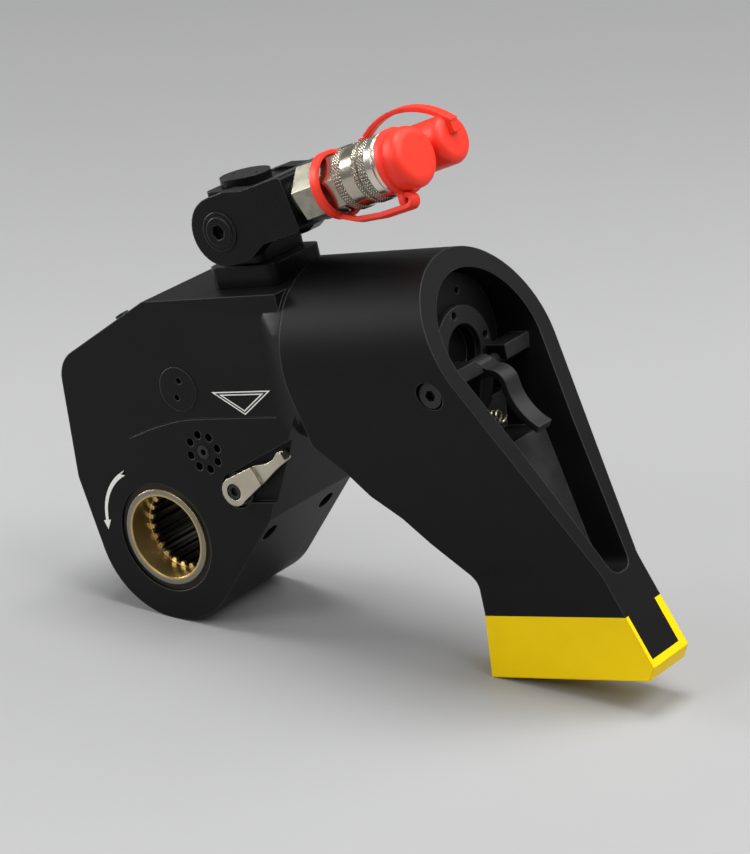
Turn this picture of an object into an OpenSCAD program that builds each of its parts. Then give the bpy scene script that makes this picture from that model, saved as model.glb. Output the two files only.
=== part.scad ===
// Hydraulic torque wrench: square-drive ratchet head, cylinder, reaction arm and swivel with two couplers.
// Millimetres. The tool is drawn level, then stand() tips it onto its nose and the foot of the arm.
// In the level tool frame X runs along the cylinder to the arm, Y away from the viewer and Z up.

/* [Head] */
// thickness of the head, front face to rear face
head_w = 62; // [61:0.5:64]
// radius of the nose round the drive axis
nose_r = 40; // [39:0.5:42]
// height of the top face over the drive axis
head_h = 111.3; // [111:0.1:114]
// distance of the end shoulder from the drive axis
head_right = 97; // [96:0.5:98]
// thickness of the front wall
wall_t = 11; // [10.5:0.1:11.5]
// thickness of the screwed rear cover
cover_t = 8; // [7.8:0.1:8.4]

/* [Drive] */
// number of ratchet teeth, also of drive spline teeth
teeth = 24; // [24:24:24]
// tip radius of the ratchet
ratchet_r = 30; // [29.8:0.1:30.2]
// depth of the ratchet teeth
tooth_h = 4; // [3.8:0.1:4]
// radius of the ratchet hub in its bushings
hub_r = 23; // [22.5:0.1:23.4]
// radius of the smooth mouth of the drive bore
bore_r = 19.7; // [19.4:0.1:20]
// root radius of the drive spline
spline_r = 19.3; // [18.8:0.1:19.3]
// depth of the drive spline teeth
spline_h = 1.8; // [1.4:0.1:2]
// angle the drive plates swing over a full stroke
swing = 30; // [30:30:30]

/* [Cylinder] */
// height of the cylinder axis over the drive axis
axis_z = 78; // [77.5:0.1:78.5]
// radius of the cylinder bore
piston_r = 21; // [20.5:0.1:21.5]
// thickness of the piston
piston_t = 22; // [20:0.5:24]
// radius of the piston rod
rod_r = 10; // [9.6:0.1:10.2]
// radius of the pin between rod and drive plates
rod_pin_r = 5.5; // [5.2:0.1:5.7]
// outer radius of the splined barrel
barrel_r = 30; // [29.6:0.1:30.2]
// where the barrel ends
barrel_end = 158; // [157:0.5:159]

/* [Reaction arm] */
// radius of the round sleeve of the arm
sleeve_r = 40; // [39.5:0.1:41]
// width of the reaction foot
foot_w = 28; // [26:0.5:32]
// depth of the foot below the drive axis
foot_z = 71.7; // [70:0.1:74]
// slant of the open end of the arm
slant = 21.3; // [20.5:0.1:22]
// width of the rim round the open end
rim_w = 9; // [8:0.1:9.5]

/* [Swivel and couplers] */
// pitch of the coupler fork over the cylinder axis
pitch = 12; // [11:0.5:16]
// width of the fork over both cheeks
fork_w = 50; // [49:0.5:52]
// distance between the two coupler axes
port_gap = 27; // [26.8:0.1:28]
// radius of the knurled collar
collar_r = 13.9; // [13.6:0.1:14]
// width across flats of the hose adapters
adapter_af = 23.6; // [22:0.1:24]

/* [Hidden] */
$fn = 72;
clr = 0.3;
fit = 0.05;
press = 0.02;
eps = 0.5;
big = 400;

// lines that the outline of the head is drawn from
kink = [-44.5, 30];
corner_tl = [-38.6, 85.9];
diag_x = 20;
facet_top = [64.5, 8];
facet_a = 60;

// seam across the front face
seam_w = 0.5;
seam_d = 0.3;
seam_path = [[-7.5, 48], [6.7, 52.1], [19.6, 54.8], [28.9, 55.9], [40.8, 56.1], [82, 55.9]];

// slices of the head from front to back
mid_y = head_w / 2;
cover_y = head_w - cover_t;
cover_x = 62;
plate_t = 5.7;
plate_y0 = wall_t + clr;
plate_y1 = cover_y - clr - plate_t;
wheel_y0 = plate_y0 + plate_t + clr;
wheel_y1 = plate_y1 - clr;
pawl_y0 = wheel_y0 + 1.5;
pawl_y1 = wheel_y1 - 1.5;

// drive train
pitch_a = 360 / teeth;
root_r = ratchet_r - tooth_h;
face_a = 3.2;
tip_land = 1.5;
root_land = 1.5;
tooth_a = 111.6;
stroke = 2 * axis_z * tan(swing / 2);
pin_x = axis_z * tan(swing / 2);
pin_far = axis_z / cos(swing / 2);
eye_r = 9;
link_w = 20;
pawl_pin_r = 4;
pawl_R = 46;
pawl_a = 90 - swing / 2;
pawl_lift = 10;
chamber_r = ratchet_r + 1.5;
bush_t = 3;
bore_d = 12.5;
spline_a = 5;

// holding pawl and its lever
lever_p = [49, 22];
shaft_r = 5;
lever_back = 2;
lever_t = 4;
lever_eye = 6.6;
lever_bore = 2.6;
lever_seat = 3.9;
lever_sink = 2.4;
handle_t = 2.6;
lip_t = 1.6;
recess_d = 3;
bush_r = 8;

// cylinder
gland_x0 = 58;
bore_x0 = 78;
gland_r = 14;
cap_x = barrel_end - 6;
piston_x1 = cap_x - 4;
piston_x0 = piston_x1 - piston_t;
tail_r = 7;
rod_seal_w = 4;
rod_seal_d = 2.5;
rod_seal_x = bore_x0 - 8;
seal_w = 5;
seal_d = 3;
corridor = 36;
shoulder_x = head_right + 2;
spline_n = 30;
barrel_root = barrel_r - 1.8;
flange_gap = 2;
hook_room = 1;
flange_r = min(sleeve_r - rim_w, barrel_r + hook_room) - flange_gap;
flange_t = 7;
ring_r = 19.8;
ring_drop = 5;
ring_room = 5;
ring_t = 3;
ring_x0 = barrel_end + flange_t;
cap_bore = 11.6;
cap_hole = [7, 20];
cap_bore_d = 5;
pin_hole_r = 1.6;
pin_hole_R = 16.4;
pin_hole_a = 8;
groove_x0 = barrel_end - 8.5;
groove_x1 = barrel_end - 2.5;
groove_r = barrel_root - 0.3;
oil_r = 2;
oil_R = 25;
oil_a = 30;

// reaction arm
end_x = 184;
arm_x0 = shoulder_x + clr;
flank_a = 15;
foot_x0 = 154;
foot_x1 = end_x + tan(slant) * (axis_z + foot_z);
chamfer = 6;
pocket_d = 15.5;
well_z = 32.5;
slot_z = -27;
slot_w = 13;
slot_r = 6;
web_z0 = 65;
web_z1 = 71.5;
web_x0 = ring_x0 + ring_t + 2;
web_x1 = web_x0 + 10;
latch_w = 10;
latch_gap = 1.5;
latch_side = 12;
latch_slot_y = mid_y - latch_w / 2 - latch_gap;
web_c = 4;
latch_p = [173.5, 65];
latch_hub = 5;
latch_pin_r = 3;
stand_r = norm([foot_x0, foot_z]);
stand_a = asin(-nose_r / stand_r) - atan2(-foot_z, foot_x0);

// swivel and couplers
pivot_h = 27.9;
pivot = [70, head_h + pivot_h];
base_w = 38;
base_d = 36;
base_t = 10;
base_top = head_h + base_t;
neck_w = 24;
neck_top = pivot.y + 15.8;
cheek_t = 8.5;
neck_d = fork_w - 2 * cheek_t - 2 * clr;
post_r = 7.5;
post_z0 = (axis_z + gland_r + head_h) / 2;
disc_r = 11.5;
disc_t = 3.5;
fork_R = 15.7;
fork_up = 13.5;
fork_dn = 11.6;
bridge_x = 23.5;
fork_x = 43;
port_z = 1.2;
port_r = 7.5;
trunnion_r = 4.5;
neck_x = 47.5;
adapter_x = 60;
nickel_x = 72;
rim_x = 91.5;
mouth_x = 97.5;
cap_end = 109.5;
nickel_af = 22;
core_r = 10.9;
mouth_r = 8.5;
stem_r = 9;
nip_end = 98;
nip_neck_r = 9.6;
nip_neck_x = 68;
nip_hex_x = 78;
nip_af = 17;
nip_cap_r = 11;
nip_cap_x = 88;
strap_t = 2.2;
strap_w = 5;
plug_in = 7;
seal_h = 3;
seal_in = 1.6;

// helpers for outlines
function pol(r, a) = [r * cos(a), r * sin(a)];
function xy(p) = [p.x, p.y];
function fillet(a, b, c, r, n) = let (
    u = (a - b) / norm(a - b),
    v = (c - b) / norm(c - b),
    h = acos(u * v) / 2,
    o = b + (u + v) / norm(u + v) * r / sin(h),
    p = b + u * r / tan(h) - o,
    q = b + v * r / tan(h) - o,
    a0 = atan2(p.y, p.x),
    da = (atan2(q.y, q.x) - a0 + 900) % 360 - 180)
    [for (i = [0 : n]) o + pol(r, a0 + da * i / n)];
function rounded(p, n = 6) = [for (i = [0 : len(p) - 1])
    let (a = p[(i + len(p) - 1) % len(p)], b = p[i], c = p[(i + 1) % len(p)])
    each b.z > 0 ? fillet(xy(a), xy(b), xy(c), b.z, b.z > 20 ? 42 : n) : [xy(b)]];
function side(p, i) = let (d = p[min(i + 1, len(p) - 1)] - p[max(i - 1, 0)]) [-d.y, d.x] / norm(d);
function band(p, t) = concat([for (i = [0 : len(p) - 1]) p[i] + side(p, i) * t / 2],
    [for (i = [len(p) - 1 : -1 : 0]) p[i] - side(p, i) * t / 2]);
function spline_pts(n, r0, r1, a0, a1) = [for (i = [0 : n - 1]) let (c = i * 360 / n)
    each [pol(r0, c - a0), pol(r1, c - a1), pol(r1, c + a1), pol(r0, c + a0)]];
function star_pts(n, r0, r1) = [for (i = [0 : 2 * n - 1]) pol(i % 2 == 0 ? r0 : r1, i * 180 / n)];

// outline of the head seen from the front
nose_a0 = -45;
nose_a1 = atan2(kink.y, kink.x) + acos(nose_r / norm(kink));
nose_p = pol(nose_r / cos((nose_a1 - nose_a0 - 360) / 2), (nose_a0 + 360 + nose_a1) / 2);
under = [head_right, facet_top.y + (head_right - facet_top.x) * tan(facet_a)];
head_pts = rounded([[nose_p.x, nose_p.y, nose_r], [facet_top.x, facet_top.y, 2], [under.x, under.y, 0],
    [head_right, head_h, 0], [diag_x, head_h, 3], [corner_tl.x, corner_tl.y, 16], [kink.x, kink.y, 10]], 8);

// placing
module stand() rotate([0, -stand_a, 0]) children();
module xz(y0, y1) translate([0, y1, 0]) rotate([90, 0, 0]) linear_extrude(y1 - y0) children();
module yz(x0, x1) translate([x0, 0, 0]) rotate([90, 0, 90]) linear_extrude(x1 - x0) children();
module rod_y(p, y0, y1, r) translate([p.x, y0, p.y]) rotate([-90, 0, 0]) cylinder(h = y1 - y0, r = r);
module rod_x(x0, x1, r) translate([x0, mid_y, axis_z]) rotate([0, 90, 0]) cylinder(h = x1 - x0, r = r);
module tube_x(x0, x1, r, ri) difference() {
    rod_x(x0, x1, r);
    rod_x(x0 - eps, x1 + eps, ri);
}
module below(p, n) translate(p) rotate([0, acos(n.z / norm(n)), atan2(n.y, n.x)])
    translate([-big / 2, -big / 2, -big]) cube(big);
module mirror_y() {
    children();
    translate([0, 2 * mid_y, 0]) mirror([0, 1, 0]) children();
}
module fork_frame() translate([pivot.x, mid_y, pivot.y]) rotate([0, -pitch, 0]) children();
module on_port(s) fork_frame() translate([0, s * port_gap / 2, port_z]) children();
module turn_x(x0, x1, r) translate([x0, 0, 0]) rotate([0, 90, 0]) cylinder(h = x1 - x0, r = r);
module hex_x(x0, x1, af, a) translate([x0, 0, 0]) rotate([a, 0, 0]) rotate([0, 90, 0])
    cylinder(h = x1 - x0, r = af / 2 / cos(30), $fn = 6);
module facet_frame(y) translate([facet_top.x - facet_in, y, facet_top.y - facet_in]) rotate([0, 135, 0])
    children();
module socket_cut(r, d) translate([0, 0, -d]) cylinder(h = d + eps, r = r, $fn = 6);

// head
screw_R = nose_r - 5.2;
screw_at = concat([for (a = [180, 212, 256, 300, 338]) pol(screw_R, a)],
    [[-36.5, 46], [8, 98.5], [44, 98], [55, 52]]);
screw_r = 2;
screw_head = 3.6;
screw_head_t = 4;
screw_len = 16;
facet_head = 4.2;
facet_y = [7, cover_y - facet_head - 0.6];
facet_in = 8.4;
facet_sink = 3;
plug_p = [29.3, 70.3];
plug_r = 10.4;
plug_t = 5;
vent_p = [35.3, 40.5];
vent_R = 8.2;
vent_r = 2;
vent_head = 3.2;
lever_slot = [[44, 16.2], [90, 16.2], [90, 46.5], [62, 35.8], [50, 31], [44.5, 29.4], [41, 25], [41, 19]];
relief_x = 0;
relief_y = 8;
relief_r = 3.3;
relief_up = 1.8;
relief_d = 4;
diag_a = atan2(head_h - corner_tl.y, diag_x - corner_tl.x);
relief_z = head_h - (diag_x - relief_x) * tan(diag_a);

// outline of the drive chamber, once round from the left of the ratchet
swing_r = pin_far + eye_r + 1;
lever_room = 9.5;
pawl_room = 44;
corridor_h = rod_r + 1;
function swung(p, a) = [p.x * cos(a) - p.y * sin(a), p.x * sin(a) + p.y * cos(a)];
edge_lo = swung([link_w + 1.2, 10], -swing / 2);
edge_hi = swung([eye_r + 1, pin_far], -swing / 2);
function edge_at(z) = [edge_lo.x + (edge_hi.x - edge_lo.x) * (z - edge_lo.y) / (edge_hi.y - edge_lo.y), z];
top_a = asin((axis_z + corridor_h) / swing_r);
cavity_pts = concat(
    [for (a = [150 : 5 : 370]) pol(chamber_r, a)],
    [for (a = [-110 : 10 : 100]) lever_p + pol(lever_room, a)],
    [[36, 38.5], edge_at(42), edge_at(axis_z - corridor_h)],
    [[corridor, axis_z - corridor_h], [corridor, axis_z + corridor_h]],
    [for (i = [0 : 8]) pol(swing_r, top_a + (90 + swing / 2 - top_a) * i / 8)],
    [for (a = [115 : 10 : 195]) [-pin_x, axis_z] + pol(eye_r + 1, a)],
    [for (a = [128 : 4 : 148]) pol(pawl_room, a)]);
module collar() intersection() {
    rod_x(80, shoulder_x, sleeve_r);
    translate([0, -big / 2, -big + head_h]) cube(big);
    mirror_y_cut() below([84.5, 0, 97.4], [-0.386, -0.885, 0.26]);
    mirror_y_cut() below([84.5, 0, 97.4], [-0.478, -0.873, -0.096]);
}
module mirror_y_cut() intersection() {
    children();
    translate([0, 2 * mid_y, 0]) mirror([0, 1, 0]) children();
}
module oil_ways() {
    translate([bore_x0 + 2.5, mid_y, axis_z + piston_r - 2]) cylinder(h = head_h, r = oil_r);
    translate([0, mid_y, axis_z]) rotate([oil_a, 0, 0]) {
        translate([bore_x0 - 12, 0, oil_R]) rotate([0, 90, 0]) cylinder(h = cap_x - bore_x0 + 11, r = oil_r);
        translate([cap_x - 2, 0, piston_r - 2]) cylinder(h = oil_R - piston_r + 2, r = oil_r - 0.5);
        translate([bore_x0 - 10, 0, oil_R]) rotate([-oil_a, 0, 0]) cylinder(h = 40, r = oil_r);
    }
}
module housing() color([0.1, 0.1, 0.11]) stand() difference() {
    union() {
        xz(0, head_w) polygon(head_pts);
        collar();
        translate([0, mid_y, axis_z]) yz(head_right - 5, barrel_end)
            polygon(spline_pts(spline_n, barrel_root, barrel_r, 3.4, 2.2));
    }
    translate([-big / 2, cover_y, -big / 2]) cube([big / 2 + cover_x, big, big]);
    xz(wall_t, head_w) polygon(cavity_pts);
    rod_y([0, 0], -eps, wall_t + eps, hub_r + bush_t);
    rod_x(corridor - eps, bore_x0, rod_r + 0.6);
    rod_x(gland_x0, bore_x0 + eps, gland_r);
    rod_x(bore_x0, barrel_end + eps, piston_r);
    tube_x(groove_x0, groove_x1, barrel_r + 1, groove_r);
    oil_ways();
    for (p = screw_at) rod_y(p, cover_y - screw_len + screw_head_t, cover_y + eps, screw_r);
    for (y = facet_y) facet_frame(y) {
        translate([0, 0, -4 - facet_sink]) cylinder(h = 4 + facet_sink + eps, r = facet_head + clr);
        translate([0, 0, -10 - facet_sink]) cylinder(h = 10, r = 2.6);
    }
    rod_y(plug_p, -eps, plug_t, plug_r + fit);
    relief_frame() translate([0, 0, -relief_d]) cylinder(h = relief_d + eps, r = relief_r + press);
    rod_y(vent_p, -eps, 3, vent_head + fit);
    rod_y(vent_p, 0, 8, 1.6);
    for (i = [0 : 7]) rod_y(vent_p + pol(vent_R, i * 45 + 10), -eps, 4, vent_r);
    rod_y(lever_p, -eps, wall_t + eps, shaft_r + fit);
    xz(-eps, recess_d) polygon(lever_slot);
    xz(-eps, seam_d) polygon(band(seam_path, seam_w));
    rod_y(lever_p, -eps, recess_d, bush_r + clr);
    translate([pivot.x, mid_y, post_z0]) cylinder(h = big, r = post_r + press);
}
module rear_cover() color([0.12, 0.12, 0.13]) stand() difference() {
    intersection() {
        xz(cover_y, head_w) polygon(head_pts);
        translate([-big / 2, 0, -big / 2]) cube([big / 2 + cover_x - press, big, big]);
    }
    rod_y([0, 0], cover_y - eps, head_w + eps, hub_r + bush_t);
    rod_y(lever_p, cover_y - eps, cover_y + 4, shaft_r + fit);
    for (p = screw_at) {
        rod_y(p, cover_y - eps, head_w + eps, screw_r + 0.2);
        rod_y(p, head_w - screw_head_t - 0.5, head_w + eps, screw_head + 0.2);
    }
}
module cover_screws() color([0.2, 0.2, 0.21]) stand() for (p = screw_at)
    translate([p.x, head_w - 0.5, p.y]) rotate([-90, 0, 0]) difference() {
        union() {
            translate([0, 0, -screw_head_t]) cylinder(h = screw_head_t, r = screw_head);
            translate([0, 0, -screw_len]) cylinder(h = screw_len - 1, r = screw_r - press);
        }
        socket_cut(1.8, 2.2);
    }
module bushing(y0, y1) difference() {
    rod_y([0, 0], y0, y1, hub_r + bush_t - press);
    rod_y([0, 0], y0 - eps, y1 + eps, hub_r + fit);
}
module front_bushing() color([0.35, 0.3, 0.22]) stand() bushing(1.2, wall_t);
module rear_bushing() color([0.35, 0.3, 0.22]) stand() bushing(cover_y, head_w - 1.2);
module facet_screws() color([0.2, 0.2, 0.21]) stand() for (y = facet_y) facet_frame(y) difference() {
    union() {
        translate([0, 0, -4 - facet_sink]) cylinder(h = 4, r = facet_head);
        translate([0, 0, -9.8 - facet_sink]) cylinder(h = 6, r = 2.5);
    }
    translate([0, 0, -facet_sink]) socket_cut(2.2, 2.6);
}
module side_plug() color([0.1, 0.1, 0.11]) stand() difference() {
    rod_y(plug_p, -0.4, plug_t, plug_r);
    for (s = [-1, 1]) rod_y(plug_p + s * [1.65, 3.85], -1, 3, 1.5);
}
module relief_frame() translate([relief_x, relief_y, relief_z]) rotate([0, -diag_a, 0]) children();
module relief_plug() color([0.15, 0.15, 0.16]) stand() relief_frame() difference() {
    translate([0, 0, -relief_d]) cylinder(h = relief_d + relief_up, r = relief_r);
    translate([0, 0, relief_up]) socket_cut(1.6, 2);
}
module vent_frame() translate([vent_p.x, 0, vent_p.y]) rotate([90, 0, 0]) children();
module vent_screw() color([0.25, 0.25, 0.26]) stand() vent_frame() difference() {
    union() {
        translate([0, 0, -3]) cylinder(h = 3.4, r = vent_head);
        translate([0, 0, -7.8]) cylinder(h = 5, r = 1.6 - press);
    }
    translate([0, 0, 0.4]) socket_cut(1.6, 2);
}

// drive train
function wheel_pts() = [for (i = [0 : teeth - 1]) let (a = tooth_a + i * pitch_a)
    each [pol(ratchet_r, a), pol(ratchet_r, a + tip_land), pol(root_r, a + pitch_a - face_a - root_land),
        pol(root_r, a + pitch_a - face_a)]];
module ratchet() color([0.72, 0.58, 0.32]) stand() difference() {
    union() {
        rod_y([0, 0], 0, head_w, hub_r);
        xz(wheel_y0, wheel_y1) polygon(wheel_pts());
    }
    xz(-eps, head_w + eps) rotate(spline_a) polygon(spline_pts(teeth, spline_r - spline_h, spline_r, 4.3, 3.2));
    rod_y([0, 0], -eps, bore_d, bore_r);
    rod_y([0, 0], head_w - bore_d, head_w + eps, bore_r);
}
module plate(y0) xz(y0, y0 + plate_t) rotate(-swing / 2) difference() {
    union() {
        circle(hub_r + 6);
        polygon([[link_w, 12], [eye_r, pin_far], [-eye_r, pin_far], [-link_w, 12]]);
        translate([0, pin_far]) circle(eye_r);
    }
    circle(hub_r + fit);
    translate([0, pin_far + clr]) circle(rod_pin_r + 0.5);
    translate([0, axis_z - clr]) circle(rod_pin_r + 0.5);
    translate([-rod_pin_r - 0.5, axis_z - clr]) square([2 * rod_pin_r + 1, pin_far - axis_z + 2 * clr]);
    translate([0, pawl_R]) circle(pawl_pin_r + press);
}
module drive_plate_front() color([0.5, 0.5, 0.52]) stand() plate(plate_y0);
module drive_plate_rear() color([0.5, 0.5, 0.52]) stand() plate(plate_y1);
pawl_p = pol(pawl_R, pawl_a);
module pawl_pin() color([0.6, 0.6, 0.62]) stand() rod_y(pawl_p, plate_y0, plate_y1 + plate_t, pawl_pin_r);
pawl_gap = 0.4;
function pawl_tooth(a) = [pol(root_r + pawl_gap, a - 4.4), pol(root_r + pawl_gap, a - 3.9),
    pol(ratchet_r + 0.6, a - 0.75)];
pawl_back = [pol(34.5, tooth_a - 1), pol(39, 100), pol(48, 86), pol(51, 77), pol(41, 70), pol(33, 86),
    pol(31.2, 93), pol(ratchet_r + 0.9, tooth_a - 12)];
module drive_pawl() color([0.55, 0.55, 0.56]) stand() difference() {
    union() {
        rod_y(pawl_p, pawl_y0, pawl_y1, 6.5);
        xz(pawl_y0, pawl_y1) translate(pawl_p) rotate(-pawl_lift) translate(-pawl_p)
            polygon(concat(pawl_tooth(tooth_a), pawl_back));
    }
    rod_y(pawl_p, 0, head_w, pawl_pin_r + fit);
}
hold_a = tooth_a - 3 * pitch_a;
hold_back = [pol(36, hold_a - 0.6), pol(40, 55), pol(48, 40), lever_p + [0, bush_r - 0.4],
    lever_p - [0, bush_r - 0.4], pol(36, 32), pol(31.5, 45), pol(ratchet_r + 0.9, hold_a - 12)];
module reaction_pawl() color([0.55, 0.55, 0.56]) stand() difference() {
    union() {
        rod_y(lever_p, pawl_y0, pawl_y1, bush_r);
        xz(pawl_y0, pawl_y1) polygon(concat(pawl_tooth(hold_a), hold_back));
    }
    rod_y(lever_p, 0, head_w, shaft_r + press);
}
module lever_shaft() color([0.6, 0.6, 0.62]) stand() difference() {
    rod_y(lever_p, lever_back, cover_y + 3.7, shaft_r);
    rod_y(lever_p, lever_back - eps, lever_back + 12, lever_bore - 0.1);
}
module lever_bush() color([0.5, 0.5, 0.5]) stand() difference() {
    rod_y(lever_p, lever_back + clr, recess_d, bush_r);
    rod_y(lever_p, lever_back, recess_d + eps, shaft_r + fit);
}
lever_a = 24;
neck_l = 16.5;
handle_l = 38;
module lever_frame() translate([lever_p.x, lever_back, lever_p.y]) rotate([0, -lever_a, 0]) children();
handle_pts = rounded([[neck_l - 2, 5.2, 0], [neck_l + 1, 5, 1.5], [24, 2.8, 5], [29, 2.6, 5], [33.5, 4.4, 2.5],
    [handle_l - 0.5, 3.6, 2], [handle_l, -0.6, 1.5], [28, -1.7, 8], [neck_l - 2, -4.2, 0]]);
module release_lever() color([0.7, 0.68, 0.62]) stand() lever_frame() difference() {
    union() {
        rod_y([0, 0], -lever_t, 0, lever_eye);
        xz(-lever_t, 0) polygon([[0, -lever_eye + 0.2], [neck_l, -3.9], [neck_l, 5.2], [0, lever_eye - 0.1]]);
        xz(-handle_t, 0) polygon(handle_pts);
        translate([handle_l - lip_t, -lever_t - lip_t, -0.4]) cube([lip_t, lever_t, 3.6]);
    }
    rod_y([0, 0], -lever_t - eps, eps, lever_bore);
    rod_y([0, 0], -lever_t - eps, -lever_t + lever_sink, lever_seat);
}
module lever_screw() color([0.6, 0.6, 0.6]) stand() lever_frame() translate([0, -lever_t + lever_sink, 0])
    rotate([90, 0, 0]) difference() {
        union() {
            cylinder(h = lever_sink - 0.4, r = lever_seat - clr);
            translate([0, 0, lever_sink - lever_t - 11])
                cylinder(h = lever_t + 9, r = lever_bore - 0.1 - press);
        }
        translate([0, 0, lever_sink - 0.4]) socket_cut(2.2, 1.5);
    }

// cylinder
seal_x0 = (piston_x0 + piston_x1 - seal_w) / 2;
seal_x1 = seal_x0 + seal_w;
module piston() color([0.62, 0.62, 0.64]) stand() difference() {
    rod_x(piston_x0, piston_x1, piston_r - fit);
    rod_x(piston_x0 - eps, piston_x1 + eps, tail_r + press);
    tube_x(seal_x0, seal_x1, piston_r + 1, piston_r - seal_d);
}
module piston_seal() color([0.15, 0.35, 0.5]) stand()
    tube_x(seal_x0 + press, seal_x1 - press, piston_r - press, piston_r - seal_d + press);
module piston_rod() color([0.75, 0.75, 0.77]) stand() difference() {
    union() {
        rod_x(pin_x + 11, piston_x0, rod_r);
        rod_x(piston_x0 - eps, piston_x1, tail_r);
        intersection() {
            rod_x(pin_x - eye_r, pin_x + 12, rod_r);
            xz(0, head_w) {
                translate([pin_x, axis_z]) circle(eye_r - 0.5);
                translate([pin_x, axis_z - eye_r + 0.5]) square([12, 2 * eye_r - 1]);
            }
        }
    }
    rod_y([pin_x, axis_z], 0, head_w, rod_pin_r + press);
}
module rod_pin() color([0.6, 0.6, 0.62]) stand()
    rod_y([pin_x, axis_z], plate_y0 + clr, plate_y1 + plate_t - clr, rod_pin_r);
module rod_gland() color([0.7, 0.55, 0.3]) stand() difference() {
    tube_x(gland_x0, bore_x0 - press, gland_r - press, rod_r + fit);
    rod_x(rod_seal_x, rod_seal_x + rod_seal_w, rod_r + rod_seal_d);
}
module rod_seal() color([0.15, 0.35, 0.5]) stand()
    tube_x(rod_seal_x + press, rod_seal_x + rod_seal_w - press, rod_r + rod_seal_d - press, rod_r + fit);
module cylinder_cap() color([0.3, 0.3, 0.31]) stand() difference() {
    union() {
        rod_x(cap_x, barrel_end + 1, piston_r - press);
        rod_x(barrel_end, barrel_end + flange_t, flange_r);
    }
    translate([0, cap_hole.x, cap_hole.y]) rod_x(barrel_end + 3, barrel_end + flange_t + eps, pin_hole_r);
    translate([0, 0, -ring_drop]) rod_x(ring_x0 - cap_bore_d, ring_x0 + eps, cap_bore);
}
module cap_ring() color([0.4, 0.4, 0.41]) stand() translate([0, 0, -ring_drop]) difference() {
    tube_x(ring_x0, ring_x0 + ring_t, ring_r, cap_bore);
    for (i = [0 : 3]) let (q = pol(pin_hole_R, pin_hole_a + i * 90))
        translate([0, q.x, q.y]) rod_x(ring_x0 - eps, ring_x0 + ring_t + eps, pin_hole_r);
}

// reaction arm
function drop(d) = let (r = sleeve_r - d, t = pol(r, -flank_a), w = max(foot_w / 2 - d / cos(flank_a), 1))
    concat([for (a = [-flank_a : 3 : 180 + flank_a]) pol(r, a)], [[-w, t.y - (t.x - w) / tan(flank_a)],
        [-w, -axis_z - big / 4], [w, -axis_z - big / 4], [w, t.y - (t.x - w) / tan(flank_a)]]);
function end_line(z, d) = end_x - d / cos(slant) + tan(slant) * (axis_z - z);
module beyond_end(d) xz(-big / 4, big / 2)
    polygon([[end_line(-big, d), -big], [end_line(big, d), big], [big * 2, big], [big * 2, -big]]);
inner_edge = [[foot_x0, -foot_z, 0], [157.8, -42, 6], [158, -28, 8], [141, -8.5, 10], [131, 5, 12],
    [119, 16.5, 8], [111.5, 28, 10], [arm_x0, 42, 4], [arm_x0, 130, 0]];
module arm_side() xz(-big / 4, big / 2) polygon(rounded(concat([[foot_x1 - chamfer, -foot_z, 0]], inner_edge,
    [[end_line(130, 0), 130, 0], [end_line(-foot_z + chamfer, 0), -foot_z + chamfer, 0]])));
module pocket_2d(z0, z1) intersection() {
    polygon(drop(rim_w));
    translate([-big / 2, z0 - axis_z]) square([big, z1 - z0]);
}
inner_t = pol(sleeve_r - rim_w, -flank_a);
function inner_half(z) = inner_t.x - (inner_t.y - z + axis_z) * tan(flank_a);
slot_pts = rounded([[inner_half(well_z + 2), well_z + 2 - axis_z, 0], [slot_w / 2, slot_z - axis_z, slot_r],
    [-slot_w / 2, slot_z - axis_z, slot_r], [-inner_half(well_z + 2), well_z + 2 - axis_z, 0]], 8);
module arm_blank() intersection() {
    translate([0, mid_y, axis_z]) yz(0, big) polygon(drop(0));
    arm_side();
}
module arm_hollow() {
    translate([0, mid_y, axis_z]) yz(arm_x0 - eps, barrel_end + 1)
        polygon(spline_pts(spline_n, barrel_root + 0.15, barrel_r + 0.15, 3.7, 2.5));
    translate([0, mid_y, axis_z]) yz(barrel_end, big)
        pocket_2d(axis_z - ring_drop - ring_r - ring_room, axis_z + sleeve_r);
    translate([0, mid_y, axis_z]) yz(barrel_end + 8, big) pocket_2d(well_z, axis_z);
    intersection() {
        translate([0, mid_y, axis_z]) yz(0, big) polygon(slot_pts);
        beyond_end(pocket_d);
    }
}
module reaction_arm() color([0.13, 0.13, 0.13]) stand() difference() {
    union() {
        difference() {
            arm_blank();
            arm_hollow();
        }
        translate([web_x0, mid_y - sleeve_r + rim_w / 2, web_z0])
            cube([web_x1 - web_x0, 2 * sleeve_r - rim_w, web_z1 - web_z0]);
    }
    translate([barrel_end, latch_slot_y, web_z0 - eps])
        cube([60, mid_y + latch_side - latch_slot_y, web_z1 - web_z0 + 2 * eps]);
    yz(barrel_end, web_x1 + eps) polygon([[latch_slot_y - web_c - eps, web_z1 + eps],
        [latch_slot_y + eps, web_z1 + eps], [latch_slot_y + eps, web_z1 - web_c - eps]]);
    translate([groove_x0 - 4, mid_y - latch_w / 2 - 1, well_z + 4]) cube([40, latch_w + 2, 16]);
    rod_y(latch_p, -big / 8, big / 2, latch_pin_r + press);
    rod_y(latch_p, -big / 8, -2, 6.5);
}
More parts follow.
